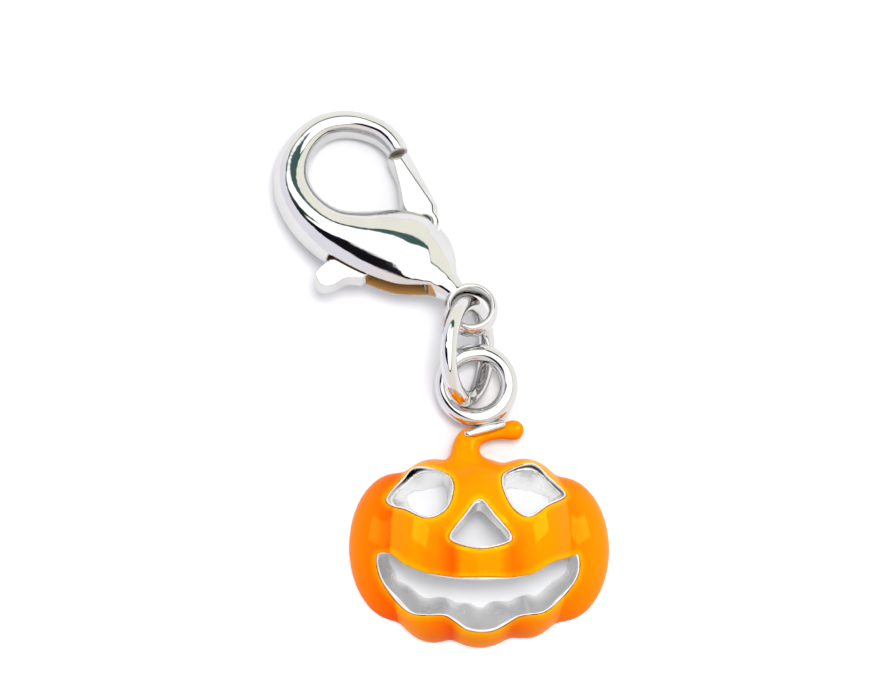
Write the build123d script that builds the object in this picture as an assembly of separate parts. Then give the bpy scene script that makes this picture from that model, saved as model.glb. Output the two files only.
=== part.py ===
from build123d import *
import os
from math import cos, sin, radians

# Charm lying on a table: X to the right, Y towards the clasp, Z up, millimetres.
# The back of the pumpkin lies flat at Z = 0 while the parts are laid out,
# and the whole charm is then centred on its own box.

# A field larger than the charm, for cutting at a height.
FIELD = 40.0
STANDING = (Align.CENTER, Align.CENTER, Align.MIN)

# Lobster clasp: places are (along, across) its own plane.
# Along runs from the middle of the hook's opening to the eye, across points to the gate.
CLASP_AT = (-7.01, 20.05, 1.666)
CLASP_HEADING = -48.7
CLASP_PITCH = -9.4
CLASP_ROLL = -8.1
CLASP_SECTIONS = [
    # along, across, heading of the wire, half width, half thickness
    (1.10, 2.72, 154, 0.50, 0.72),
    (0.10, 3.03, 166, 0.62, 0.86),
    (-1.05, 2.90, 191, 0.67, 0.98),
    (-2.35, 2.08, 222, 0.68, 1.00),
    (-3.08, 0.90, 248, 0.68, 1.02),
    (-3.14, -0.45, 275, 0.76, 1.04),
    (-2.62, -1.80, 303, 0.88, 1.10),
    (-1.58, -2.77, 329, 1.00, 1.22),
    (-0.10, -3.20, 354, 1.14, 1.38),
    (1.50, -3.05, 14, 1.38, 1.52),
    (2.80, -2.38, 22, 1.80, 1.62),
    (4.10, -1.38, 25, 2.33, 1.68),
    (5.30, -0.62, 23, 2.46, 1.66),
    (6.35, -0.32, 14, 2.16, 1.48),
    (7.25, -0.22, 6, 1.58, 1.18),
    (8.00, -0.20, 2, 0.92, 0.84),
    (8.85, -0.14, 0, 0.62, 0.62),
]
EYE_AT = (10.00, -0.10)
EYE_HOLE_RADIUS = 0.95
EYE_WALL = 0.52
EYE_DEPTH = 1.30

# Lever: one plate, pivoting on a rivet inside the clasp's slot.
PIVOT_AT = (4.70, 1.20)
LEVER_THICKNESS = 1.15
LEVER_HUB_RADIUS = 0.78
GATE_END_RADIUS = 4.32
GATE_OUTLINE = [
    # along, across; the tip runs past the arc that trims it
    (0.20, 2.30),
    (0.75, 3.40),
    (4.30, 2.52),
    (5.20, 1.70),
    (4.70, 0.45),
    (3.05, 0.95),
    (1.72, 1.86),
]
ARM_OUTLINE = [(4.00, 1.20), (5.30, 1.50), (5.00, -3.55), (3.75, -3.75)]
TAB_OUTLINE = [
    (5.00, -3.40),
    (3.60, -3.60),
    (3.25, -3.80),
    (3.05, -4.15),
    (3.05, -5.00),
    (3.30, -5.35),
    (3.90, -5.45),
    (4.30, -4.95),
    (4.45, -4.10),
]
GATE_GAP = 0.09
SLOT_WIDTH = 1.40
SLOT_OUTLINE = [
    (2.30, 0.30),
    (2.95, -0.60),
    (2.85, -4.80),
    (8.30, -4.80),
    (7.90, -1.25),
    (6.50, -0.50),
    (5.70, 1.20),
    (4.72, 3.30),
    (1.90, 3.30),
]
CUT_THROUGH = 6.0
HOOK_TIP_ZONE = (0.0, 1.9, 2.1, 2.2)
PIN_RADIUS = 0.40
PIN_SEAT = 0.005
PIN_CLEARANCE = 0.05

# Jump ring, standing on its edge between the clasp's eye and the pendant's loop.
RING_AT = (-0.746, 10.419, 2.786)
RING_WIRE = 0.90
RING_OUTSIDE = 6.00
RING_LEAN = -26.4
RING_RISE = 16.6
RING_TURN = 2.15
RING_SPLIT = 1.0
RING_SPLIT_AT = 250.0

# Pendant: lobes are half ellipsoids whose flat side is the open back.
LOBES = [
    # centre x, centre y, half width, half height, depth
    (0.00, -0.15, 3.50, 5.20, 4.70),
    (-2.45, -0.05, 2.90, 5.05, 4.40),
    (2.40, 0.10, 2.90, 4.95, 4.40),
    (-4.40, 0.15, 2.65, 4.10, 2.60),
    (4.40, 0.08, 2.65, 4.00, 2.60),
]
ENAMEL = 0.28
ENAMEL_BED = 0.01
ENAMEL_FOOT = 0.20
SILVER_LINE = 0.06
HOLLOW_HALF_SIZE = (4.90, 2.75, 3.05)

# Openings: front outline, back outline, the height where the wall starts to slope in.
LEFT_EYE_FRONT = [
    (-4.98, 2.26), (-4.06, 3.49), (-3.60, 4.02), (-2.80, 3.90),
    (-1.79, 3.43), (-1.60, 2.60), (-2.00, 1.50), (-2.97, 1.04), (-4.01, 1.61),
]
LEFT_EYE_BACK = [
    (-3.80, 2.70), (-3.50, 2.98), (-2.95, 3.00), (-2.50, 3.15),
    (-1.80, 3.30), (-1.70, 2.70), (-2.10, 1.80), (-2.85, 1.45), (-3.55, 2.10),
]
RIGHT_EYE_FRONT = [
    (4.49, 2.60), (3.60, 3.45), (3.08, 4.07), (2.55, 4.22),
    (1.45, 3.75), (1.18, 2.95), (1.67, 1.66), (2.50, 1.12), (3.45, 1.80),
]
RIGHT_EYE_BACK = [
    (3.75, 2.60), (3.30, 2.85), (2.80, 3.00), (2.35, 3.05),
    (1.60, 3.20), (1.40, 2.80), (1.80, 1.95), (2.50, 1.45), (3.20, 2.05),
]
NOSE_FRONT = [(-0.15, 1.92), (-0.90, 1.05), (-1.66, 0.00), (-1.20, -0.42),
              (-0.10, -0.66), (1.05, -0.42), (1.48, 0.00), (0.62, 1.05)]
NOSE_BACK = [(-0.10, 1.25), (-0.70, 0.75), (-1.35, 0.10), (-1.00, -0.25),
             (-0.10, -0.42), (0.75, -0.25), (1.05, 0.10), (0.45, 0.75)]
MOUTH_TOP = [(-4.73, -0.82), (-4.06, -1.44), (-2.63, -2.08), (-0.17, -2.36), (2.32, -2.10),
             (3.60, -1.40), (4.60, -0.95)]
MOUTH_FRONT_LOWER = [
    (5.12, -0.80), (5.08, -1.90), (4.11, -3.15), (3.29, -3.80), (2.53, -3.96), (1.85, -4.08),
    (0.80, -4.66), (0.08, -4.80), (-0.71, -4.68), (-1.37, -4.26), (-1.90, -4.03),
    (-2.90, -4.03), (-3.78, -3.80), (-4.81, -2.72), (-5.36, -1.78), (-5.45, -0.80),
]
MOUTH_BACK_LOWER = [
    (4.70, -0.85), (4.52, -1.25), (3.80, -1.95), (3.05, -2.35), (2.30, -2.42), (1.60, -2.68),
    (0.74, -2.82), (0.10, -3.00), (-0.60, -2.95), (-1.25, -2.75), (-1.90, -2.62),
    (-2.86, -2.52), (-3.72, -2.12), (-4.30, -1.60), (-4.53, -1.25), (-4.78, -0.75),
]
# How far up the face all the openings sit from their outlines above.
FACE_RISE = 0.19
EYE_SLOPE_FROM = 2.3
NOSE_SLOPE_FROM = 4.3
MOUTH_SLOPE_FROM = 1.8
CUT_PAST_BACK = 0.1
CUT_HEIGHT = 4.0

# Stem with its curl, and the loop cast on top of it.
STEM_STATIONS = [
    # x, y, z, radius
    (-0.70, 3.90, 1.15, 1.15),
    (-0.80, 5.25, 1.20, 0.80),
    (-0.62, 5.95, 1.15, 0.66),
    (0.15, 6.15, 1.12, 0.52),
    (1.00, 6.33, 1.08, 0.47),
    (1.84, 6.42, 1.05, 0.66),
]
LOOP_FOOT_START = (-0.72, 6.08, 1.50)
LOOP_FOOT_END = (1.22, 6.68, 1.50)
LOOP_FOOT_RADIUS = 0.28
LOOP_AT = (-0.22, 8.80, 1.50)
LOOP_WIRE = 0.98
LOOP_OUTSIDE = 4.50


def clasp_place():
    """Where the clasp's own plane lies above the table."""
    turn = Rot(Z=CLASP_HEADING) * Rot(Y=CLASP_PITCH) * Rot(X=CLASP_ROLL)
    return Pos(*CLASP_AT) * turn


def clasp_blank():
    """Hook, body and neck as one smooth casting of oval sections, still without its slot."""
    sections = []
    for along, across, heading, half_width, half_thickness in CLASP_SECTIONS:
        forward = (cos(radians(heading)), sin(radians(heading)), 0)
        sideways = (-forward[1], forward[0], 0)
        plane = Plane(origin=(along, across, 0), x_dir=sideways, z_dir=forward)
        sections.append(plane * Ellipse(half_width, half_thickness))
    return loft(sections)


def clasp_eye():
    """The eye's ring, oval in section so that a jump ring can pass slantwise."""
    middle = EYE_HOLE_RADIUS + EYE_WALL / 2
    section = Plane.XZ * Pos(middle, 0) * Ellipse(EYE_WALL / 2, EYE_DEPTH / 2)
    return Pos(*EYE_AT, 0) * revolve(section, Axis.Z)


def plate(outline, thickness):
    """A flat plate of one outline, centred on the clasp's plane."""
    face = make_face(Polyline(*outline, close=True))
    return extrude(face, thickness / 2, both=True)


def pivot_cylinder(radius, length):
    return Pos(*PIVOT_AT, 0) * Cylinder(radius, length)


def clasp_lever():
    """Gate, hub, arm and thumb tab, trimmed to an arc at the gate's end."""
    thickness = LEVER_THICKNESS
    gate = plate(GATE_OUTLINE, thickness) & pivot_cylinder(GATE_END_RADIUS, thickness)
    lever = gate + pivot_cylinder(LEVER_HUB_RADIUS, thickness)
    lever = lever + plate(ARM_OUTLINE, thickness) + plate(TAB_OUTLINE, thickness)
    return lever - pivot_cylinder(PIN_RADIUS + PIN_CLEARANCE, CUT_THROUGH)


def clasp_parts():
    """Clasp casting, lever and rivet in the clasp's own plane."""
    blank = clasp_blank()
    zone_along, zone_across, zone_length, zone_width = HOOK_TIP_ZONE
    zone = Box(zone_length, zone_width, CUT_THROUGH, align=(Align.MIN, Align.MIN, Align.CENTER))
    swept_by_gate = pivot_cylinder(GATE_END_RADIUS + GATE_GAP, CUT_THROUGH)
    casting = blank - (Pos(zone_along, zone_across, 0) * zone & swept_by_gate)
    casting = casting - plate(SLOT_OUTLINE, SLOT_WIDTH)
    casting = casting + clasp_eye()
    casting = casting - pivot_cylinder(PIN_RADIUS + PIN_SEAT, CUT_THROUGH)
    pin = blank & pivot_cylinder(PIN_RADIUS, CUT_THROUGH)
    return casting, clasp_lever(), pin


def jump_ring():
    """Round wire bent to a ring, its two ends a hairline apart."""
    centre_radius = (RING_OUTSIDE - RING_WIRE) / 2
    section = Plane.XZ * Pos(centre_radius, 0) * Circle(RING_WIRE / 2)
    ring = revolve(section, Axis.Z, 360 - RING_SPLIT)
    turn = Rot(Z=RING_TURN) * Rot(X=RING_RISE) * Rot(Y=RING_LEAN) * Rot(Y=90)
    return Pos(*RING_AT) * turn * Rot(Z=RING_SPLIT_AT) * ring


def ellipsoid(centre, half_size):
    ball = Rot(X=90) * Sphere(1)
    return Pos(*centre) * scale(ball, by=half_size)


def upper_half():
    return Box(FIELD, FIELD, FIELD, align=STANDING)


def lobed_dome(inset):
    """All lobes together, each smaller by the inset, cut flat at the back."""
    dome = None
    for x, y, half_width, half_height, depth in LOBES:
        size = (half_width - inset, half_height - inset, depth - inset)
        lobe = ellipsoid((x, y, 0), size)
        dome = lobe if dome is None else dome + lobe
    return dome & upper_half()


def curved_face(points, height):
    """A flat face bounded by a smooth closed curve through the points of an opening."""
    return make_face(Spline(*[(x, y + FACE_RISE, height) for x, y in points], periodic=True))


def straight_face(points, height):
    """A flat face bounded by straight lines through the points of an opening."""
    return make_face(Polyline(*[(x, y + FACE_RISE, height) for x, y in points], close=True))


def drafted_cutter(outline, front, back, slope_from):
    """Straight sides above the slope, sides drawing in to the back outline below it."""
    front_face = outline(front, slope_from)
    back_face = outline(back, -CUT_PAST_BACK)
    upper = extrude(front_face, CUT_HEIGHT, dir=(0, 0, 1))
    return upper + loft([back_face, front_face], ruled=True)


def openings():
    """Cutters for the eyes, the nose and the mouth."""
    mouth_front = MOUTH_TOP + MOUTH_FRONT_LOWER
    mouth_back = MOUTH_TOP + MOUTH_BACK_LOWER
    return [
        drafted_cutter(curved_face, LEFT_EYE_FRONT, LEFT_EYE_BACK, EYE_SLOPE_FROM),
        drafted_cutter(curved_face, RIGHT_EYE_FRONT, RIGHT_EYE_BACK, EYE_SLOPE_FROM),
        drafted_cutter(curved_face, NOSE_FRONT, NOSE_BACK, NOSE_SLOPE_FROM),
        drafted_cutter(straight_face, mouth_front, mouth_back, MOUTH_SLOPE_FROM),
    ]


def grown(points, line):
    """The outline moved outwards from its middle by the width of a line."""
    middle_x = sum(x for x, y in points) / len(points)
    middle_y = sum(y for x, y in points) / len(points)
    moved = []
    for x, y in points:
        away = Vector(x - middle_x, y - middle_y).normalized() * line
        moved.append((x + away.X, y + away.Y))
    return moved


def enamel_openings():
    """The same openings for the enamel, wider by the bare silver line round each of them."""
    curved = (LEFT_EYE_FRONT, RIGHT_EYE_FRONT, NOSE_FRONT)
    faces = [curved_face(grown(front, SILVER_LINE), 0) for front in curved]
    faces.append(straight_face(MOUTH_TOP + MOUTH_FRONT_LOWER, 0))
    return [extrude(face, 2 * CUT_HEIGHT, dir=(0, 0, 1)) for face in faces]


def stem(inset):
    """The stem: a tapered stalk out of the top dimple, curling to the right into a knob."""
    first = STEM_STATIONS[0]
    shape = Pos(*first[:3]) * Sphere(first[3] - inset)
    for start, end in zip(STEM_STATIONS, STEM_STATIONS[1:]):
        foot = Vector(*start[:3])
        run = Vector(*end[:3]) - foot
        taper = Cone(start[3] - inset, end[3] - inset, run.length, align=STANDING)
        piece = Plane(origin=foot, z_dir=run) * taper
        shape = shape + piece + Pos(*end[:3]) * Sphere(end[3] - inset)
    return shape


def pendant_loop(more=0.0):
    """The loop and the foot that carries it on the stem, thicker all over by the extra given."""
    centre_radius = (LOOP_OUTSIDE - LOOP_WIRE) / 2
    loop = Pos(*LOOP_AT) * Torus(centre_radius, LOOP_WIRE / 2 + more)
    run = Vector(*LOOP_FOOT_END) - Vector(*LOOP_FOOT_START)
    rod = Cylinder(LOOP_FOOT_RADIUS + more, run.length + more, align=STANDING)
    return Plane(origin=LOOP_FOOT_START, z_dir=run) * rod + loop


def pumpkin_casting():
    """Silver shell, stem core and loop in one, hollow from the back."""
    bed = ENAMEL + ENAMEL_BED
    rim = lobed_dome(0) & Box(FIELD, FIELD, 2 * ENAMEL_FOOT)
    casting = lobed_dome(bed) + rim + stem(bed) + pendant_loop()
    casting = casting - ellipsoid((0, 0, 0), HOLLOW_HALF_SIZE)
    for cutter in openings():
        casting = casting - cutter
    return casting


def pumpkin_enamel():
    """The orange skin over the casting's front and stem, short of the rim and of each opening."""
    skin = (lobed_dome(0) + stem(0)) & Pos(0, 0, ENAMEL_FOOT + ENAMEL_BED) * upper_half()
    skin = skin - lobed_dome(ENAMEL) - stem(ENAMEL)
    skin = skin - pendant_loop(ENAMEL_BED)
    for cutter in enamel_openings():
        skin = skin - cutter
    return skin


def largest_solid(shape):
    return max(shape.solids(), key=lambda solid: solid.volume)


def charm():
    """Every piece by its name, laid out on the table."""
    place = clasp_place()
    casting, lever, pin = clasp_parts()
    return {
        "clasp_body": place * largest_solid(casting),
        "clasp_lever": place * largest_solid(lever),
        "clasp_pin": place * largest_solid(pin),
        "jump_ring": jump_ring(),
        "pumpkin_casting": largest_solid(pumpkin_casting()),
        "pumpkin_enamel": largest_solid(pumpkin_enamel()),
    }


def centring(shapes):
    """The move that puts the middle of the whole charm's box over the origin."""
    boxes = [shape.bounding_box() for shape in shapes]
    low_x = min(box.min.X for box in boxes)
    high_x = max(box.max.X for box in boxes)
    low_y = min(box.min.Y for box in boxes)
    high_y = max(box.max.Y for box in boxes)
    low_z = min(box.min.Z for box in boxes)
    return Pos(-(low_x + high_x) / 2, -(low_y + high_y) / 2, -low_z)


parts = charm()
move = centring(parts.values())
os.makedirs("parts", exist_ok=True)
for name, shape in parts.items():
    export_step(move * shape, f"parts/{name}.step")
print("moved by", move.position)
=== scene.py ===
from math import atan2, cos, pi, radians, sin
import bmesh
import bpy
from mathutils import Matrix, Vector, kdtree


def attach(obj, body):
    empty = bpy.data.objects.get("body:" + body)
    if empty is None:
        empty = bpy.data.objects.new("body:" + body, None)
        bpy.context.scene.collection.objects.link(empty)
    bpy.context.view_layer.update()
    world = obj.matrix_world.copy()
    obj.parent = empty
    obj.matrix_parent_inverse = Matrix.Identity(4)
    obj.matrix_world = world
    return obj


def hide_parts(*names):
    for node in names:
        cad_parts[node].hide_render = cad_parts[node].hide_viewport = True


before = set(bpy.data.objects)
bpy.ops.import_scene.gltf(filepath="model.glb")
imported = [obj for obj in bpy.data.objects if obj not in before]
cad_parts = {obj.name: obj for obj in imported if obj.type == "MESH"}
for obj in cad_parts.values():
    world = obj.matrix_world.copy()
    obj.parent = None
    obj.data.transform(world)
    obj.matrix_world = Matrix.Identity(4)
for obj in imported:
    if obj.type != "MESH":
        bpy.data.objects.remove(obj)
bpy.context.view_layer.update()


# Camera: nearly overhead, a little from the front and the left, far away with a long lens.
# Its three directions are those that the pumpkin, the ring and the clasp share in the photograph.
MM = 0.001
RIGHT = Vector((0.99920, 0.00000, 0.03997))
UP = Vector((-0.00688, 0.98505, 0.17211))
TO_CAMERA = Vector((-0.03937, -0.17225, 0.98427))
LOOK_AT = Vector((-0.119, 1.834, 1.850)) * MM
CAMERA_DISTANCE = 0.5
SENSOR_WIDTH, FOCAL_LENGTH = 36.0, 380.5
NEAREST, FARTHEST = 0.05, 10.0

lens = bpy.data.cameras.new("camera")
lens.sensor_width = SENSOR_WIDTH
lens.lens = FOCAL_LENGTH
lens.clip_start, lens.clip_end = NEAREST, FARTHEST
camera = bpy.data.objects.new("camera", lens)
bpy.context.collection.objects.link(camera)
turn = Matrix((RIGHT, UP, TO_CAMERA)).transposed().to_4x4()
camera.matrix_world = Matrix.Translation(LOOK_AT + TO_CAMERA * CAMERA_DISTANCE) @ turn
bpy.context.scene.camera = camera
bpy.context.scene.view_settings.view_transform = "Standard"


# Table: a plain white sheet that the charm lies on, wide enough to fill every view.
# It is matt and faintly cool.
TABLE_RADIUS = 1.5
PAPER_COLOUR = (0.72, 0.73, 0.76, 1)

bm = bmesh.new()
bmesh.ops.create_circle(bm, cap_ends=True, segments=96, radius=TABLE_RADIUS)
mesh = bpy.data.meshes.new("table_top")
bm.to_mesh(mesh)
bm.free()
table_top = bpy.data.objects.new("table_top", mesh)
bpy.context.collection.objects.link(table_top)
paper = bpy.data.materials.new("white_paper")
paper.use_nodes = True
paper_shader = paper.node_tree.nodes["Principled BSDF"]
paper_shader.inputs["Base Color"].default_value = PAPER_COLOUR
paper_shader.inputs["Roughness"].default_value = 1.0
paper_shader.inputs["Specular IOR Level"].default_value = 0.0
mesh.materials.append(paper)


# Studio light: a white tent above, a duller, tinted wall round its foot, and a dark gap between them.
# Polished silver shows the gap as thin lines, and as broad bands where the tent's hem hangs higher.
# Two soft boxes light the enamel alone and one high lamp reaches into the openings.
GAP_TOP = 0.66
GAP_WIDTH = 0.050
RAISED_GAPS = [
    # direction along the table, how much higher its top is there, and its foot, narrowness
    ((0.36, 0.93, 0.0), 0.19, 0.00, 14.0),
    ((-0.96, -0.27, 0.0), 0.29, 0.05, 16.0),
    ((-0.72, -0.70, 0.0), 0.24, 0.10, 14.0),
    ((-0.30, -0.95, 0.0), 0.20, 0.14, 18.0),
    ((-0.91, 0.42, 0.0), 0.20, 0.00, 40.0),
]
HIGHEST_GAP_TOP = 0.95
GAP_SOFTNESS, SIDE_SOFTNESS, TEAL_SOFTNESS = 0.015, 0.5, 0.4
TENT_COLOUR = (1.00, 1.00, 1.01, 1)
GAP_COLOUR = (0.006, 0.005, 0.008, 1)
TEAL_GAP = (0.045, 0.090, 0.085, 1)
TEAL_SIDE = (0.50, 0.87, 0.0)
CREAM_WALL = (0.72, 0.71, 0.63, 1)
LAVENDER_WALL = (0.65, 0.64, 0.71, 1)
ROSE_WALL = (0.67, 0.60, 0.56, 1)
LAVENDER_SIDE = (-0.86, -0.51, 0.0)
ROSE_SIDE = (0.26, -0.97, 0.0)
ROSE_FROM, ROSE_SOFTNESS = 0.72, 0.25
TENT_STRENGTH = 1.75
SOFT_BOXES = [
    # name, direction from the charm, width, height, watts, colour, whether only the enamel sees it
    ("soft_box_left", (-0.80, 0.31, 0.72), 0.22, 0.46, 2.2, (1.0, 0.98, 0.95), True),
    ("soft_box_right", (0.75, 0.37, 0.72), 0.22, 0.46, 2.4, (1.0, 0.97, 0.92), True),
    ("high_lamp", (0.05, 0.02, 0.99), 0.16, 0.16, 1.9, (1.0, 0.98, 0.95), False),
]
SOFT_BOX_DISTANCE = 0.55

world = bpy.data.worlds.new("studio")
world.use_nodes = True
bpy.context.scene.world = world
nodes, links = world.node_tree.nodes, world.node_tree.links
nodes.clear()


def studio_math(operation, first, second):
    """One step of the sums that shape the gap."""
    step = nodes.new("ShaderNodeMath")
    step.operation = operation
    for socket, value in zip(step.inputs, (first, second)):
        if isinstance(value, float):
            socket.default_value = value
        else:
            links.new(value, socket)
    return step.outputs[0]


def studio_step(value, middle, softness):
    """0 below the middle and 1 above it, with a soft edge."""
    step = nodes.new("ShaderNodeMapRange")
    step.interpolation_type = "SMOOTHSTEP"
    step.inputs["From Min"].default_value = -softness
    step.inputs["From Max"].default_value = softness
    links.new(studio_math("SUBTRACT", value, middle), step.inputs["Value"])
    return step.outputs[0]


def studio_mix(share, first, second):
    """One colour turning into another."""
    mix = nodes.new("ShaderNodeMix")
    mix.data_type = "RGBA"
    links.new(share, mix.inputs["Factor"])
    for socket, value in ((mix.inputs["A"], first), (mix.inputs["B"], second)):
        if isinstance(value, tuple):
            socket.default_value = value
        else:
            links.new(value, socket)
    return mix.outputs["Result"]


direction = nodes.new("ShaderNodeTexCoord").outputs["Generated"]
parts = nodes.new("ShaderNodeSeparateXYZ")
links.new(direction, parts.inputs[0])
level = nodes.new("ShaderNodeCombineXYZ")
links.new(parts.outputs["X"], level.inputs["X"])
links.new(parts.outputs["Y"], level.inputs["Y"])
heading = nodes.new("ShaderNodeVectorMath")
heading.operation = "NORMALIZE"
links.new(level.outputs[0], heading.inputs[0])


def facing(side):
    """How far the direction turns towards one side of the tent, from -1 to 1."""
    product = nodes.new("ShaderNodeVectorMath")
    product.operation = "DOT_PRODUCT"
    product.inputs[1].default_value = side
    links.new(heading.outputs[0], product.inputs[0])
    return product.outputs["Value"]


gap_top, gap_foot = GAP_TOP, GAP_TOP - GAP_WIDTH
for side, top_rise, foot_rise, narrowness in RAISED_GAPS:
    share = studio_math("POWER", studio_math("MAXIMUM", facing(side), 0.0), narrowness)
    gap_top = studio_math("ADD", gap_top, studio_math("MULTIPLY", share, top_rise))
    gap_foot = studio_math("ADD", gap_foot, studio_math("MULTIPLY", share, foot_rise))
gap_top = studio_math("MINIMUM", gap_top, HIGHEST_GAP_TOP)
wall = studio_mix(studio_step(facing(LAVENDER_SIDE), 0.0, SIDE_SOFTNESS), CREAM_WALL, LAVENDER_WALL)
wall = studio_mix(studio_step(facing(ROSE_SIDE), ROSE_FROM, ROSE_SOFTNESS), wall, ROSE_WALL)
gap = studio_mix(studio_step(facing(TEAL_SIDE), 0.0, TEAL_SOFTNESS), GAP_COLOUR, TEAL_GAP)
around = studio_mix(studio_step(parts.outputs["Z"], gap_foot, GAP_SOFTNESS), wall, gap)
tent = studio_mix(studio_step(parts.outputs["Z"], gap_top, GAP_SOFTNESS), around, TENT_COLOUR)
seen = studio_mix(nodes.new("ShaderNodeLightPath").outputs["Is Camera Ray"], tent, TENT_COLOUR)
background = nodes.new("ShaderNodeBackground")
background.inputs["Strength"].default_value = TENT_STRENGTH
links.new(seen, background.inputs["Color"])
links.new(background.outputs[0], nodes.new("ShaderNodeOutputWorld").inputs["Surface"])

enamel_only = bpy.data.collections.new("enamel_only")
for name, box_direction, width, height, watts, colour, for_enamel in SOFT_BOXES:
    light = bpy.data.lights.new(name, "AREA")
    light.shape = "RECTANGLE"
    light.size, light.size_y = width, height
    light.energy = watts
    light.color = colour
    lamp = bpy.data.objects.new(name, light)
    bpy.context.collection.objects.link(lamp)
    away = Vector(box_direction).normalized()
    lamp_turn = away.to_track_quat("Z", "Y").to_matrix().to_4x4()
    lamp.matrix_world = Matrix.Translation(away * SOFT_BOX_DISTANCE) @ lamp_turn
    lamp.visible_camera = False
    lamp.visible_glossy = for_enamel
    if for_enamel:
        lamp.light_linking.receiver_collection = enamel_only


# Clasp casting: hook, swollen body, neck and eye cast in one in brass, then silver plated and polished.
# Inside the slot a brown, less metallic colour is painted in as shade, and on the hook's tip a weaker
# share of it is painted in as a warm reflection.
# Places are millimetres in the clasp's own plane: along to the eye, across to the gate, up.
CLASP_AT = (-7.01, 20.05, 1.666)
CLASP_HEADING, CLASP_PITCH, CLASP_ROLL = -48.7, -9.4, -8.1
LAID_OUT = (2.0534, -9.23469, 0.0)
CLASP_STATIONS = [
    # along, across, heading of the wire, half width, half thickness, roundness (2 is an oval)
    (1.10, 2.72, 154, 0.50, 0.72, 2.0),
    (0.10, 3.03, 166, 0.62, 0.86, 2.0),
    (-1.05, 2.90, 191, 0.67, 0.98, 2.0),
    (-2.35, 2.08, 222, 0.68, 1.00, 2.1),
    (-3.08, 0.90, 248, 0.70, 1.02, 2.2),
    (-3.14, -0.45, 275, 0.76, 1.04, 2.4),
    (-2.62, -1.80, 303, 0.88, 1.10, 2.5),
    (-1.58, -2.77, 329, 1.00, 1.22, 2.4),
    (-0.10, -3.20, 354, 1.14, 1.38, 2.2),
    (1.50, -3.05, 374, 1.38, 1.52, 2.0),
    (2.80, -2.38, 382, 1.80, 1.62, 1.9),
    (4.10, -1.38, 385, 2.33, 1.68, 1.85),
    (5.30, -0.62, 383, 2.46, 1.66, 1.85),
    (6.35, -0.32, 374, 2.16, 1.48, 1.85),
    (7.25, -0.22, 366, 1.58, 1.18, 1.9),
    (8.00, -0.20, 362, 0.92, 0.84, 2.0),
    (8.85, -0.14, 360, 0.62, 0.62, 2.0),
]
EYE_AT = (10.00, -0.10)
EYE_HOLE_RADIUS, EYE_WALL, EYE_DEPTH = 0.95, 0.52, 1.30
PIVOT_AT = (4.70, 1.20)
GATE_END_RADIUS, GATE_GAP = 4.32, 0.09
HOOK_TIP_ZONE = [(0.0, 1.9), (2.1, 1.9), (2.1, 4.1), (0.0, 4.1)]
TIP_ZONE_HALF_DEPTH = 1.5
SLOT_WIDTH = 1.40
SLOT_OUTLINE = [
    (2.30, 0.30), (2.95, -0.60), (2.85, -4.80), (8.30, -4.80),
    (7.90, -1.25), (6.50, -0.50), (5.70, 1.20), (4.72, 3.30), (1.90, 3.30),
]
RIDGE_AT = (5.62, 0.715, 0.0)
RIDGE_FACES = (0.66, 0.75, 0.0)
RIDGE_SLOPE, RIDGE_DEEPEST = 0.22, 0.6
RIDGE_NECK, RIDGE_FADE = 8.2, 1.2
CLASP_VOXEL = 0.055
CLASP_STEPS, CLASP_SIDES = 6, 64
# Where the brown painted shade sits inside the slot, and where the painted warm reflection sits on the
# hook's tip.
SLOT_SHADE_FROM, SLOT_SHADE_TO, SLOT_SHADE_BELOW, SLOT_SHADE_MARGIN = 3.0, 8.2, -1.0, 0.03
TIP_GLINT_BEFORE, TIP_GLINT_ABOVE, TIP_GLINT_MARGIN = 2.1, 1.9, 0.06
TIP_GLINT = 0.3
SLOT_SHADE_AND_TIP_GLINT_COLOUR = (0.30, 0.16, 0.05, 1)
PLATING_TINT = (0.90, 0.89, 0.86, 1)
CLOUDS_A_METRE, PITS_A_METRE = 700.0, 5200.0
CLOUD_LOW, CLOUD_HIGH = 0.3, 0.7
PIT_DEPTH, WAVE_DEPTH = 0.000004, 0.00003

to_row = Matrix.Scale(MM, 4) @ Matrix.Translation(LAID_OUT)
clasp_turn = (Matrix.Rotation(radians(CLASP_HEADING), 4, "Z")
              @ Matrix.Rotation(radians(CLASP_PITCH), 4, "Y")
              @ Matrix.Rotation(radians(CLASP_ROLL), 4, "X"))
clasp_to_row = to_row @ Matrix.Translation(CLASP_AT) @ clasp_turn


def smooth_between(rows, steps, closed=False):
    """Rows of numbers with steps more rows between each two, on one smooth curve through them all."""
    count = len(rows)
    made = []
    for i in range(count if closed else count - 1):
        if closed:
            four = [rows[(i + k) % count] for k in (-1, 0, 1, 2)]
        else:
            four = [rows[min(max(i + k, 0), count - 1)] for k in (-1, 0, 1, 2)]
        for step in range(steps):
            t = step / steps
            weights = (
                (-t + 2 * t**2 - t**3) / 2,
                (2 - 5 * t**2 + 3 * t**3) / 2,
                (t + 4 * t**2 - 3 * t**3) / 2,
                (-t**2 + t**3) / 2,
            )
            made.append([sum(w * v for w, v in zip(weights, column)) for column in zip(*four)])
    if not closed:
        made.append(list(rows[-1]))
    return made


def signed_power(value, power):
    """The power of a number, keeping its sign."""
    return (1 if value > 0 else -1) * abs(value) ** power


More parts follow.
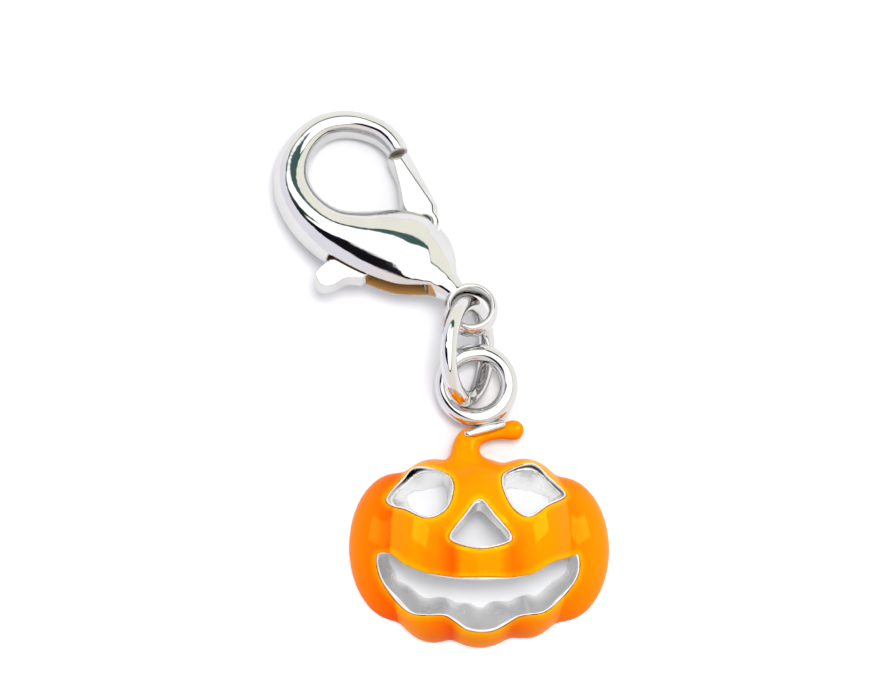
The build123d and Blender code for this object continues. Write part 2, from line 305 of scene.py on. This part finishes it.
def swept(sections, sides):
    """A closed tube: one circle, extruded from section to section.
    A section is the matrix of a unit circle and how round it is."""
    bm = bmesh.new()
    bmesh.ops.create_circle(bm, cap_ends=True, segments=sides, radius=1.0, matrix=sections[0][0])
    edges, verts = bm.edges[:], bm.verts[:]
    before, round_before = sections[0][0], 2.0
    for after, round_after in sections:
        if after is not before:
            made = bmesh.ops.extrude_edge_only(bm, edges=edges)["geom"]
            verts = [part for part in made if isinstance(part, bmesh.types.BMVert)]
            edges = [part for part in made if isinstance(part, bmesh.types.BMEdge) and part.is_boundary]
        back = before.inverted()
        for vert in verts:
            flat = back @ vert.co
            angle = atan2(signed_power(flat.y, round_before / 2), signed_power(flat.x, round_before / 2))
            x, y = signed_power(cos(angle), 2 / round_after), signed_power(sin(angle), 2 / round_after)
            vert.co = after @ Vector((x, y, 0))
        before, round_before = after, round_after
    bmesh.ops.edgeloop_fill(bm, edges=edges)
    bmesh.ops.recalc_face_normals(bm, faces=bm.faces)
    return bm


def prism(outline, low, high):
    """A plate of one outline from low to high."""
    bm = bmesh.new()
    face = bm.faces.new([bm.verts.new((x, y, low)) for x, y in outline])
    made = bmesh.ops.extrude_face_region(bm, geom=[face])["geom"]
    verts = [part for part in made if isinstance(part, bmesh.types.BMVert)]
    bmesh.ops.translate(bm, vec=(0, 0, high - low), verts=verts)
    bmesh.ops.recalc_face_normals(bm, faces=bm.faces)
    return bm


def drum(centre, radius, height, sides=128):
    """A round cutter standing on the clasp's plane."""
    bm = bmesh.new()
    bmesh.ops.create_cone(bm, cap_ends=True, segments=sides, radius1=radius, radius2=radius, depth=height,
                          matrix=Matrix.Translation((*centre, 0)))
    return bm


def ring(wire_across, wire_deep, middle_radius, turn=2 * pi, steps=160):
    """A ring of oval wire, spun round the upright axis."""
    bm = bmesh.new()
    section = Matrix.Translation((middle_radius, 0, 0)) @ Matrix.Rotation(pi / 2, 4, "X")
    section = section @ Matrix.Diagonal((wire_across / 2, wire_deep / 2, 1, 1))
    whole = turn == 2 * pi
    bmesh.ops.create_circle(bm, cap_ends=not whole, segments=48, radius=1.0, matrix=section)
    bmesh.ops.spin(bm, geom=bm.verts[:] + bm.edges[:] + bm.faces[:], cent=(0, 0, 0), axis=(0, 0, 1),
                   angle=turn, steps=steps, use_merge=whole)
    bmesh.ops.remove_doubles(bm, verts=bm.verts, dist=0.0001)
    bmesh.ops.recalc_face_normals(bm, faces=bm.faces)
    return bm


def as_mesh(bm):
    """The bmesh as a mesh of its own."""
    mesh = bpy.data.meshes.new("shape")
    bm.to_mesh(mesh)
    bm.free()
    return mesh


def with_modifier(mesh, kind, settings):
    """The mesh as one modifier leaves it."""
    holder = bpy.data.objects.new("holder", mesh)
    bpy.context.collection.objects.link(holder)
    modifier = holder.modifiers.new(kind, kind)
    for key, value in settings.items():
        setattr(modifier, key, value)
    shown = holder.evaluated_get(bpy.context.evaluated_depsgraph_get())
    made = bpy.data.meshes.new_from_object(shown)
    bpy.data.objects.remove(holder)
    return made


def cut(mesh, cutter, operation="DIFFERENCE"):
    """The mesh less the cutter, or what both share."""
    if isinstance(cutter, bmesh.types.BMesh):
        cutter = as_mesh(cutter)
    tool = bpy.data.objects.new("tool", cutter)
    bpy.context.collection.objects.link(tool)
    made = with_modifier(mesh, "BOOLEAN", {"operation": operation, "solver": "MANIFOLD", "object": tool})
    bpy.data.objects.remove(tool)
    return made


def joined(*meshes):
    """Several meshes in one."""
    bm = bmesh.new()
    for mesh in meshes:
        bm.from_mesh(mesh)
    return as_mesh(bm)


def cast(mesh, voxel, rounds):
    """One closed skin over the shape, its edges and inner corners softened as in a casting."""
    made = with_modifier(mesh, "REMESH", {"mode": "VOXEL", "voxel_size": voxel, "use_smooth_shade": True})
    bm = bmesh.new()
    bm.from_mesh(made)
    for _ in range(rounds):
        bmesh.ops.smooth_vert(bm, verts=bm.verts, factor=0.5,
                              use_axis_x=True, use_axis_y=True, use_axis_z=True)
    return as_mesh(bm)


def plated_finish(name, roughness=0.06, grain=0.35, ripple=0.12, shade=0.63):
    """Polished silver plating: bright, faintly cream at the edges, with the casting's soft ripple."""
    material = bpy.data.materials.new(name)
    material.use_nodes = True
    nodes, links = material.node_tree.nodes, material.node_tree.links
    shader = nodes["Principled BSDF"]
    shader.inputs["Metallic"].default_value = 1.0
    shader.inputs["Specular Tint"].default_value = PLATING_TINT
    place = nodes.new("ShaderNodeTexCoord").outputs["Object"]
    cloud = nodes.new("ShaderNodeTexNoise")
    cloud.inputs["Scale"].default_value = CLOUDS_A_METRE
    cloud.inputs["Detail"].default_value = 3.0
    links.new(place, cloud.inputs["Vector"])
    tone = nodes.new("ShaderNodeValToRGB")
    darker, lighter = tone.color_ramp.elements
    darker.position, lighter.position = CLOUD_LOW, CLOUD_HIGH
    darker.color = (shade * 0.97, shade * 0.965, shade * 0.96, 1)
    lighter.color = (shade * 1.03, shade * 1.025, shade * 1.01, 1)
    links.new(cloud.outputs["Fac"], tone.inputs["Fac"])
    links.new(tone.outputs["Color"], shader.inputs["Base Color"])
    wear = nodes.new("ShaderNodeMapRange")
    wear.inputs["From Min"].default_value = CLOUD_LOW
    wear.inputs["From Max"].default_value = CLOUD_HIGH
    wear.inputs["To Min"].default_value = roughness * 0.6
    wear.inputs["To Max"].default_value = roughness * 1.6
    links.new(cloud.outputs["Fac"], wear.inputs["Value"])
    links.new(wear.outputs[0], shader.inputs["Roughness"])
    fine = nodes.new("ShaderNodeTexNoise")
    fine.inputs["Scale"].default_value = PITS_A_METRE
    fine.inputs["Detail"].default_value = 2.0
    links.new(place, fine.inputs["Vector"])
    pits = nodes.new("ShaderNodeBump")
    pits.inputs["Strength"].default_value = grain
    pits.inputs["Distance"].default_value = PIT_DEPTH
    links.new(fine.outputs["Fac"], pits.inputs["Height"])
    waves = nodes.new("ShaderNodeBump")
    waves.inputs["Strength"].default_value = ripple
    waves.inputs["Distance"].default_value = WAVE_DEPTH
    links.new(cloud.outputs["Fac"], waves.inputs["Height"])
    links.new(pits.outputs[0], waves.inputs["Normal"])
    links.new(waves.outputs[0], shader.inputs["Normal"])
    return material


def piece(name, mesh, matrix, material, body, stands_for):
    """A finished piece with its place in its mesh, riding on a body in place of CAD nodes."""
    mesh.transform(matrix)
    mesh.name = name
    mesh.materials.clear()
    mesh.materials.append(material)
    mesh.shade_smooth()
    made = bpy.data.objects.new(name, mesh)
    bpy.context.collection.objects.link(made)
    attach(made, body)
    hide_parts(stands_for)
    return made


clasp_line = smooth_between(CLASP_STATIONS, CLASP_STEPS)
sections = []
for along, across, turned, half_width, half_thickness, roundness in clasp_line:
    angle = radians(turned)
    forward = Vector((cos(angle), sin(angle), 0))
    sideways = Vector((-forward.y, forward.x, 0)) * half_width
    axes = Matrix((sideways, Vector((0, 0, half_thickness)), forward)).transposed().to_4x4()
    sections.append((Matrix.Translation((along, across, 0)) @ axes, roundness))
tube = swept(sections, CLASP_SIDES)
bmesh.ops.bisect_plane(tube, geom=tube.verts[:] + tube.edges[:] + tube.faces[:],
                       plane_co=RIDGE_AT, plane_no=RIDGE_FACES, dist=0.0001)
for vert in tube.verts:
    beyond = (vert.co - Vector(RIDGE_AT)).dot(Vector(RIDGE_FACES))
    before_neck = min(1.0, max(0.0, (RIDGE_NECK - vert.co.x) / RIDGE_FADE))
    if beyond > 0 and vert.co.z > 0:
        vert.co.z -= min(RIDGE_SLOPE * beyond * before_neck, RIDGE_DEEPEST * vert.co.z)
blank = as_mesh(tube)
tip_zone = prism(HOOK_TIP_ZONE, -TIP_ZONE_HALF_DEPTH, TIP_ZONE_HALF_DEPTH)
gate_reach = drum(PIVOT_AT, GATE_END_RADIUS + GATE_GAP, 3 * TIP_ZONE_HALF_DEPTH)
swept_by_gate = cut(as_mesh(tip_zone), gate_reach, "INTERSECT")
blank = cut(blank, swept_by_gate)
blank = cut(blank, prism(SLOT_OUTLINE, -SLOT_WIDTH / 2, SLOT_WIDTH / 2))
eye = ring(EYE_WALL, EYE_DEPTH, EYE_HOLE_RADIUS + EYE_WALL / 2)
bmesh.ops.translate(eye, vec=(*EYE_AT, 0), verts=eye.verts)
clasp_shape = cast(joined(blank, as_mesh(eye)), CLASP_VOXEL, 3)
# Painted shade and reflection: 1 inside the slot (painted brown shade), a smaller share on the hook's tip
# (painted warm reflection).
shade_and_glint = []
for vertex in clasp_shape.vertices:
    along, across, up = vertex.co
    in_slot = (SLOT_SHADE_FROM < along < SLOT_SHADE_TO and across < SLOT_SHADE_BELOW
               and abs(up) < SLOT_WIDTH / 2 + SLOT_SHADE_MARGIN)
    from_pivot = (Vector((along, across)) - Vector(PIVOT_AT)).length
    at_tip = (along < TIP_GLINT_BEFORE and across > TIP_GLINT_ABOVE
              and from_pivot < GATE_END_RADIUS + GATE_GAP + TIP_GLINT_MARGIN)
    shade_and_glint.append(1.0 if in_slot else TIP_GLINT if at_tip else 0.0)
clasp_shape.attributes.new("slot_shade_and_tip_glint", "FLOAT", "POINT").data.foreach_set("value", shade_and_glint)
clasp_silver = plated_finish("clasp_plating")
nodes, links = clasp_silver.node_tree.nodes, clasp_silver.node_tree.links
shader = nodes["Principled BSDF"]
# The painted shade and reflection turn the silver brown and less metallic.
painted_mark = nodes.new("ShaderNodeAttribute")
painted_mark.attribute_name = "slot_shade_and_tip_glint"
painted_mix = nodes.new("ShaderNodeMix")
painted_mix.data_type = "RGBA"
painted_mix.inputs["B"].default_value = SLOT_SHADE_AND_TIP_GLINT_COLOUR
links.new(shader.inputs["Base Color"].links[0].from_socket, painted_mix.inputs["A"])
links.new(painted_mark.outputs["Fac"], painted_mix.inputs["Factor"])
links.new(painted_mix.outputs["Result"], shader.inputs["Base Color"])
unpainted_share = nodes.new("ShaderNodeMath")
unpainted_share.operation = "SUBTRACT"
unpainted_share.inputs[0].default_value = 1.0
links.new(painted_mark.outputs["Fac"], unpainted_share.inputs[1])
links.new(unpainted_share.outputs[0], shader.inputs["Metallic"])
clasp = piece("clasp_casting", clasp_shape, clasp_to_row, clasp_silver,
              "charm", "clasp_body")


# Clasp lever: gate, hub, arm and thumb tab stamped as one plate and plated, turning on the rivet.
# Its edges are tumbled soft.
LEVER_THICKNESS = 1.15
LEVER_HUB_RADIUS = 0.78
GATE_OUTLINE = [(0.20, 2.30), (0.75, 3.40), (4.30, 2.52), (5.20, 1.70),
                (4.70, 0.45), (3.05, 0.95), (1.72, 1.86)]
GATE_TOP = [(0.83, 2.30), (1.05, 2.74), (4.20, 2.26), (5.05, 1.62),
            (4.75, 0.55), (3.18, 0.98), (2.05, 1.66)]
GATE_EDGE_AT = 0.05
ARM_OUTLINE = [(4.00, 1.20), (5.30, 1.50), (5.00, -3.55), (3.75, -3.75)]
TAB_OUTLINE = [(5.00, -3.40), (3.60, -3.60), (3.25, -3.80), (3.05, -4.15), (3.05, -5.00),
               (3.30, -5.35), (3.90, -5.45), (4.30, -4.95), (4.45, -4.10)]
LEVER_VOXEL = 0.04
PIN_RADIUS, PIN_CLEARANCE = 0.40, 0.05
LEVER_CUTTER_HEIGHT = 2.0


def stacked(levels):
    """A solid through outlines of equal counts, one over the other."""
    bm = bmesh.new()
    loops = []
    for outline, height in levels:
        verts = [bm.verts.new((x, y, height)) for x, y in outline]
        loops.append([bm.edges.new((a, b)) for a, b in zip(verts, verts[1:] + verts[:1])])
    for one, other in zip(loops, loops[1:]):
        bmesh.ops.bridge_loops(bm, edges=one + other)
    for end in (loops[0], loops[-1]):
        bmesh.ops.edgeloop_fill(bm, edges=end)
    bmesh.ops.recalc_face_normals(bm, faces=bm.faces)
    return bm


half = LEVER_THICKNESS / 2
gate_blank = stacked([(GATE_OUTLINE, -half), (GATE_OUTLINE, GATE_EDGE_AT), (GATE_TOP, half)])
gate = cut(as_mesh(gate_blank), drum(PIVOT_AT, GATE_END_RADIUS, LEVER_CUTTER_HEIGHT), "INTERSECT")
tab = as_mesh(prism(smooth_between(TAB_OUTLINE, 5, closed=True), -half, half))
arm = as_mesh(prism(ARM_OUTLINE, -half, half))
hub = as_mesh(drum(PIVOT_AT, LEVER_HUB_RADIUS, LEVER_THICKNESS))
lever_shape = gate
for part in (hub, arm, tab):
    lever_shape = cut(lever_shape, part, "UNION")
lever_shape = cut(lever_shape, drum(PIVOT_AT, PIN_RADIUS + PIN_CLEARANCE, LEVER_CUTTER_HEIGHT, 64))
lever_shape = cast(lever_shape, LEVER_VOXEL, 5)
lever = piece("lever_plate", lever_shape, clasp_to_row, clasp_silver,
              "lever", "clasp_lever")


# Rivet: a plain steel pin through the body and the lever, its ends filed and plated over.
# Only its middle shows, inside the slot.
RIVET_LENGTH, RIVET_BEVEL = 1.5, 0.05

rivet_shape = drum(PIVOT_AT, PIN_RADIUS, RIVET_LENGTH, 64)
sharp_edges = [edge for edge in rivet_shape.edges if edge.calc_face_angle(0) > 1]
bmesh.ops.bevel(rivet_shape, geom=sharp_edges, offset=RIVET_BEVEL,
                affect="EDGES", segments=3, profile=0.5, material=-1)
rivet = piece("rivet", as_mesh(rivet_shape), clasp_to_row, clasp_silver,
              "charm", "clasp_pin")


# Jump ring: plated round wire, bent until its cut ends meet, through the clasp's eye and the loop.
# It leans over on its edge between them.
RING_AT = (-0.746, 10.419, 2.786)
RING_WIRE, RING_OUTSIDE = 0.90, 6.00
RING_TURN, RING_RISE, RING_LEAN = 2.15, 16.6, -26.4
RING_SPLIT, RING_SPLIT_AT = 1.0, 250.0

ring_turn = (Matrix.Rotation(radians(RING_TURN), 4, "Z") @ Matrix.Rotation(radians(RING_RISE), 4, "X")
             @ Matrix.Rotation(radians(RING_LEAN), 4, "Y") @ Matrix.Rotation(radians(90), 4, "Y")
             @ Matrix.Rotation(radians(RING_SPLIT_AT), 4, "Z"))
wire_ring = ring(RING_WIRE, RING_WIRE, (RING_OUTSIDE - RING_WIRE) / 2, turn=radians(360 - RING_SPLIT))
ring_silver = plated_finish("ring_plating", roughness=0.05, ripple=0.05)
jump_ring = piece("wire_ring", as_mesh(wire_ring), to_row @ Matrix.Translation(RING_AT) @ ring_turn,
                  ring_silver, "charm", "jump_ring")


# Pumpkin casting: a lobed silver shell, hollow at the back, with the stem's core in one with it.
# Eyes, nose and mouth are cut right through, their walls drawing in towards the back.
# The mouth's upper wall is drawn in further under the face, and its lower wall is fluted.
LOBES = [
    # centre x, centre y, half width, half height, depth
    (0.00, -0.15, 3.50, 5.20, 4.70),
    (-2.45, -0.05, 2.90, 5.05, 4.40),
    (2.40, 0.10, 2.90, 4.95, 4.40),
    (-4.40, 0.15, 2.65, 4.10, 2.60),
    (4.40, 0.08, 2.65, 4.00, 2.60),
]
ENAMEL, ENAMEL_BED, ENAMEL_FOOT = 0.28, 0.01, 0.16
HOLLOW_HALF_SIZE = (4.90, 2.75, 3.05)
LEFT_EYE_FRONT = [(-4.98, 2.26), (-4.06, 3.49), (-3.60, 4.02), (-2.80, 3.90), (-1.79, 3.43),
                  (-1.60, 2.60), (-2.00, 1.50), (-2.97, 1.04), (-4.01, 1.61)]
LEFT_EYE_BACK = [(-3.80, 2.70), (-3.50, 2.98), (-2.95, 3.00), (-2.50, 3.15), (-1.80, 3.30),
                 (-1.70, 2.70), (-2.10, 1.80), (-2.85, 1.45), (-3.55, 2.10)]
RIGHT_EYE_FRONT = [(4.49, 2.60), (3.60, 3.45), (3.08, 4.07), (2.55, 4.22), (1.45, 3.75),
                   (1.18, 2.95), (1.67, 1.66), (2.50, 1.12), (3.45, 1.80)]
RIGHT_EYE_BACK = [(3.75, 2.60), (3.30, 2.85), (2.80, 3.00), (2.35, 3.05), (1.60, 3.20),
                  (1.40, 2.80), (1.80, 1.95), (2.50, 1.45), (3.20, 2.05)]
NOSE_FRONT = [(-0.15, 1.92), (-0.90, 1.05), (-1.66, 0.00), (-1.20, -0.42),
              (-0.10, -0.66), (1.05, -0.42), (1.48, 0.00), (0.62, 1.05)]
NOSE_BACK = [(-0.10, 1.25), (-0.70, 0.75), (-1.35, 0.10), (-1.00, -0.25),
             (-0.10, -0.42), (0.75, -0.25), (1.05, 0.10), (0.45, 0.75)]
MOUTH_TOP = [(-4.73, -0.82), (-4.06, -1.44), (-2.63, -2.08), (-0.17, -2.36),
             (2.32, -2.10), (3.60, -1.40), (4.60, -0.95)]
MOUTH_FRONT_LOWER = [(5.12, -0.80), (5.08, -1.90), (4.11, -3.15), (3.29, -3.80), (2.53, -3.96),
                     (1.85, -4.08), (0.80, -4.66), (0.08, -4.80), (-0.71, -4.68), (-1.37, -4.26),
                     (-1.90, -4.03), (-2.90, -4.03), (-3.78, -3.80), (-4.81, -2.72), (-5.36, -1.78),
                     (-5.45, -0.80)]
MOUTH_BACK_LOWER = [(4.70, -0.85), (4.52, -1.25), (3.80, -1.95), (3.05, -2.35), (2.30, -2.42),
                    (1.60, -2.68), (0.74, -2.82), (0.10, -3.00), (-0.60, -2.95), (-1.25, -2.75),
                    (-1.90, -2.62), (-2.86, -2.52), (-3.72, -2.12), (-4.30, -1.60), (-4.53, -1.25),
                    (-4.78, -0.75)]
MOUTH_FLUTE = 0.13
MOUTH_UNDERCUT, MOUTH_UNDERCUT_FROM = 0.55, 3.7
FACE_RISE = 0.19
EYE_SLOPE_FROM, NOSE_SLOPE_FROM, MOUTH_SLOPE_FROM = 2.3, 4.3, 1.8
STEM_STATIONS = [
    # x, y, z, radius
    (-0.70, 3.90, 1.15, 1.15),
    (-0.80, 5.25, 1.20, 0.80),
    (-0.62, 5.95, 1.15, 0.66),
    (0.15, 6.15, 1.12, 0.52),
    (1.00, 6.33, 1.08, 0.47),
    (1.84, 6.42, 1.05, 0.66),
]
LOBE_VOXEL, SHELL_VOXEL = 0.09, 0.08
SOFT_ROUNDS = 55
BELOW, ABOVE, CUTTER_FOOT = -6.0, 8.0, -0.1
BLOCK_REACH = 9
STEM_STEPS, ROD_SIDES, OPENING_STEPS = 6, 32, 5


def ellipsoid(centre, half_size):
    """A smooth egg of the given half sizes."""
    bm = bmesh.new()
    bmesh.ops.create_uvsphere(bm, u_segments=96, v_segments=64, radius=1.0,
                              matrix=Matrix.Translation(centre) @ Matrix.Diagonal((*half_size, 1)))
    return as_mesh(bm)


def rod(stations, steps, inset=0.0):
    """A round rod through stations of place and radius, thinner by the inset."""
    line = smooth_between(stations, steps)
    sections = []
    for i, (x, y, z, radius) in enumerate(line):
        ahead, behind = line[min(i + 1, len(line) - 1)], line[max(i - 1, 0)]
        along = Vector(ahead[:3]) - Vector(behind[:3])
        axes = along.to_track_quat("Z", "Y").to_matrix().to_4x4()
        width = Matrix.Diagonal((radius - inset, radius - inset, 1, 1))
        sections.append((Matrix.Translation((x, y, z)) @ axes @ width, 2.0))
    return as_mesh(swept(sections, ROD_SIDES))


def stem(inset):
    """The stalk with its curl and the round knob at its end."""
    *end, end_radius = STEM_STATIONS[-1]
    knob = ellipsoid(end, [end_radius - inset] * 3)
    return joined(rod(STEM_STATIONS, STEM_STEPS, inset), knob)


def lobed(inset, with_stem):
    """All lobes grown together, each smaller by the inset, with their creases softened."""
    shapes = [ellipsoid((x, y, 0), (w - inset, h - inset, d - inset)) for x, y, w, h, d in LOBES]
    if with_stem:
        shapes.append(stem(inset))
    return cast(joined(*shapes), LOBE_VOXEL, SOFT_ROUNDS)


def block(low, high):
    """A slab wider than the pumpkin, from low to high."""
    reach = BLOCK_REACH
    return prism([(-reach, -reach), (reach, -reach), (reach, reach), (-reach, reach)], low, high)


def curved(outline):
    """The outline as a smooth closed curve."""
    return smooth_between(outline, OPENING_STEPS, closed=True)


def drafted(front, back, slope_from):
    """A cutter: straight sides above the slope, sides drawing in to the back outline below it."""
    return stacked([(curved(front), ABOVE), (curved(front), slope_from), (curved(back), CUTTER_FOOT)])


def raised(outline):
    """The outline moved up the face."""
    return [(x, y + FACE_RISE) for x, y in outline]


def undercut(outline, rise):
    """The outline with the points of the mouth's upper edge moved up under the face."""
    return [(x, y + rise if i < len(MOUTH_TOP) else y) for i, (x, y) in enumerate(outline)]


fluted_lower = [
    (x, y + MOUTH_FLUTE * (-1) ** i) if 0 < i < len(MOUTH_BACK_LOWER) - 1 else (x, y)
    for i, (x, y) in enumerate(MOUTH_BACK_LOWER)
]
mouth_front, mouth_back = raised(MOUTH_TOP + MOUTH_FRONT_LOWER), raised(MOUTH_TOP + fluted_lower)
openings = [
    # front outline, back outline, height where the wall starts to slope
    (raised(LEFT_EYE_FRONT), raised(LEFT_EYE_BACK), EYE_SLOPE_FROM),
    (raised(RIGHT_EYE_FRONT), raised(RIGHT_EYE_BACK), EYE_SLOPE_FROM),
    (raised(NOSE_FRONT), raised(NOSE_BACK), NOSE_SLOPE_FROM),
    (mouth_front, mouth_back, MOUTH_SLOPE_FROM),
]
full_dome = lobed(0, with_stem=False)
rim = cut(full_dome, block(0, ENAMEL_FOOT), "INTERSECT")
core = cut(lobed(ENAMEL + ENAMEL_BED, with_stem=True), block(BELOW, 0))
shell = cut(core, rim, "UNION")
shell = cut(shell, ellipsoid((0, 0, 0), HOLLOW_HALF_SIZE))
for front, back, slope_from in openings:
    shell = cut(shell, drafted(front, back, slope_from))
shell = cut(shell, stacked([
    (curved(mouth_front), MOUTH_UNDERCUT_FROM),
    (curved(undercut(mouth_front, MOUTH_UNDERCUT)), MOUTH_SLOPE_FROM),
    (curved(undercut(mouth_back, 2 * MOUTH_UNDERCUT)), CUTTER_FOOT),
]))
shell = cast(shell, SHELL_VOXEL, 2)
# Painted light: this silver is made much lighter than the clasp's same plating, so that the walls inside
# the openings, which lie in shade, come out bright.
pendant_silver_painted_lighter = plated_finish("pendant_plating_painted_lighter", roughness=0.30, grain=1.0, ripple=1.0, shade=0.93)
casting = piece("pumpkin_shell", shell, to_row, pendant_silver_painted_lighter,
                "charm", "pumpkin_casting")


# Opening rims: the casting's thin silver edge round each eye, the nose and the mouth.
# It stands just proud of the enamel that was run up to it.
SILVER_LINE = 0.09
RIM_PROUD, RIM_DEPTH = 0.02, 0.30
OUTLINE_STEPS = 8


def grown(outline, line):
    """The outline moved outwards from its middle by the width of a line."""
    middle = sum((Vector(p) for p in outline), Vector((0, 0))) / len(outline)
    return [tuple(Vector(p) + (Vector(p) - middle).normalized() * line) for p in outline]


rims = []
proud_dome = lobed(-RIM_PROUD, with_stem=False)
rim_bed = lobed(RIM_DEPTH, with_stem=False)
for front, _, _ in openings:
    outer = smooth_between(grown(front, SILVER_LINE), OUTLINE_STEPS, closed=True)
    inner = smooth_between(front, OUTLINE_STEPS, closed=True)
    band = cut(as_mesh(prism(outer, ENAMEL_FOOT, ABOVE)), prism(inner, 0, ABOVE + 1))
    rims.append(cut(cut(band, proud_dome.copy(), "INTERSECT"), rim_bed.copy()))
rim_silver = plated_finish("rim_plating", roughness=0.30, ripple=0.3, shade=0.80)
opening_rims = piece("opening_rims", joined(*rims), to_row, rim_silver,
                     "charm", "pumpkin_casting")


# Loop foot: the short silver bar on the stem that carries the loop, cast in one with both.
# It lies along the stem's arm and shows above the enamel.
LOOP_FOOT = [
    # x, y, z, radius
    (-0.80, 6.05, 1.50, 0.16),
    (-0.62, 6.12, 1.54, 0.24),
    (0.35, 6.42, 1.56, 0.28),
    (1.15, 6.66, 1.52, 0.24),
    (1.33, 6.72, 1.48, 0.16),
]
FOOT_VOXEL, FOOT_STEPS = 0.05, 5

foot_shape = cast(rod(LOOP_FOOT, FOOT_STEPS), FOOT_VOXEL, 4)
loop_silver = plated_finish("loop_plating", roughness=0.06)
loop_foot = piece("loop_foot", foot_shape.copy(), to_row, loop_silver,
                  "charm", "pumpkin_casting")


# Pendant loop: a closed ring of round wire section, cast with the pendant and polished.
# It stands on the stem's foot and holds the jump ring.
LOOP_AT = (-0.22, 8.80, 1.50)
LOOP_WIRE, LOOP_OUTSIDE = 0.98, 4.50

loop_shape = ring(LOOP_WIRE, LOOP_WIRE, (LOOP_OUTSIDE - LOOP_WIRE) / 2)
loop = piece("pendant_loop", as_mesh(loop_shape), to_row @ Matrix.Translation(LOOP_AT),
             loop_silver, "charm", "pumpkin_casting")


# Pumpkin enamel: glossy orange enamel run over the shell's front and stem and fired.
# It pools deeper orange in the creases, where painted shade is laid into the same crease colour, stronger
# on the left side than the right and fading out towards the top; it thins to yellow at its edges.
ENAMEL_VOXEL = 0.08
LOOP_ROOM, LINE_ROOM = 0.06, 0.01
MIDDLE_LOBES = 3
POOLS_AND_PAINTED_SHADE = {
    # nearest lobe, next lobe: how far the deep colour (pooled enamel with painted shade) reaches from the
    # crease, how deep it gets
    (0, 1): (0.12, 1.0), (0, 2): (0.16, 0.7), (1, 0): (0.34, 1.0), (2, 0): (0.30, 0.7),
    (1, 3): (0.05, 0.2), (2, 4): (0.05, 0.2), (3, 1): (0.70, 1.0), (4, 2): (0.50, 0.5),
}
OTHER_POOLS_AND_SHADE = (0.10, 0.3)
POOLS_AND_SHADE_END_ABOVE, POOLS_AND_SHADE_FADE = 1.2, 1.2
EDGE_WIDTH = 0.35
EDGE_COLOUR = (0.60, 0.27, 0.0010, 1)
FACE_COLOUR = (0.62, 0.158, 0.0002, 1)
# The deepest crease colour: pooled enamel darkened further as painted shade.
POOL_AND_SHADE_COLOUR = (0.58, 0.050, 0.0002, 1)

skin = cut(lobed(0, with_stem=True), block(BELOW, ENAMEL_FOOT + ENAMEL_BED))
skin = cut(skin, lobed(ENAMEL, with_stem=True))
loop_room = ring(LOOP_WIRE + LOOP_ROOM, LOOP_WIRE + LOOP_ROOM, (LOOP_OUTSIDE - LOOP_WIRE) / 2)
bmesh.ops.translate(loop_room, vec=LOOP_AT, verts=loop_room.verts)
skin = cut(skin, loop_room)
skin = cut(skin, foot_shape)
edge_points = []
for front, _, _ in openings:
    outline = smooth_between(grown(front, SILVER_LINE + LINE_ROOM), OUTLINE_STEPS, closed=True)
    edge_points += outline
    skin = cut(skin, prism(outline, 0, ABOVE))
skin = cast(skin, ENAMEL_VOXEL, 4)

edges_found = kdtree.KDTree(len(edge_points))
for i, (x, y) in enumerate(edge_points):
    edges_found.insert((x, y, 0), i)
edges_found.balance()
depths_and_shade = []
for vertex in skin.vertices:
    x, y, z = vertex.co
    nearness = sorted((((x - cx) / w) ** 2 + ((y - cy) / h) ** 2 + (z / d) ** 2, i)
                      for i, (cx, cy, w, h, d) in enumerate(LOBES))
    (near, first), (far, second) = nearness[:2]
    reach, deepest = POOLS_AND_PAINTED_SHADE.get((first, second), OTHER_POOLS_AND_SHADE)
    # The crease colour is partly pooled enamel and partly painted shade, deeper on the left than the
    # right and faded out above the middle.
    crease = deepest * max(0.0, 1 - (far ** 0.5 - near ** 0.5) / reach)
    if first < MIDDLE_LOBES and second < MIDDLE_LOBES:
        crease *= min(1.0, max(0.0, (POOLS_AND_SHADE_END_ABOVE - y) / POOLS_AND_SHADE_FADE))
    edge_distance = edges_found.find((x, y, 0))[2]
    thin = max(0.0, 1 - edge_distance / EDGE_WIDTH)
    depths_and_shade.append(min(1.0, max(0.0, 0.5 + 0.5 * crease - 0.5 * thin)))
skin.attributes.new("enamel_depth_and_shade", "FLOAT", "POINT").data.foreach_set("value", depths_and_shade)

orange = bpy.data.materials.new("orange_enamel")
orange.use_nodes = True
nodes, links = orange.node_tree.nodes, orange.node_tree.links
shader = nodes["Principled BSDF"]
depth = nodes.new("ShaderNodeAttribute")
depth.attribute_name = "enamel_depth_and_shade"
shades = nodes.new("ShaderNodeValToRGB")
shades.color_ramp.elements[0].color = EDGE_COLOUR
shades.color_ramp.elements[1].color = POOL_AND_SHADE_COLOUR
shades.color_ramp.elements.new(0.5).color = FACE_COLOUR
links.new(depth.outputs["Fac"], shades.inputs["Fac"])
links.new(shades.outputs["Color"], shader.inputs["Base Color"])
shader.inputs["Roughness"].default_value = 0.10
shader.inputs["Metallic"].default_value = 0.12
shader.inputs["IOR"].default_value = 1.10
shader.inputs["Specular Tint"].default_value = (1.0, 0.80, 0.25, 1)
enamel = piece("enamel_skin", skin, to_row, orange, "charm", "pumpkin_enamel")
enamel_only.objects.link(enamel)
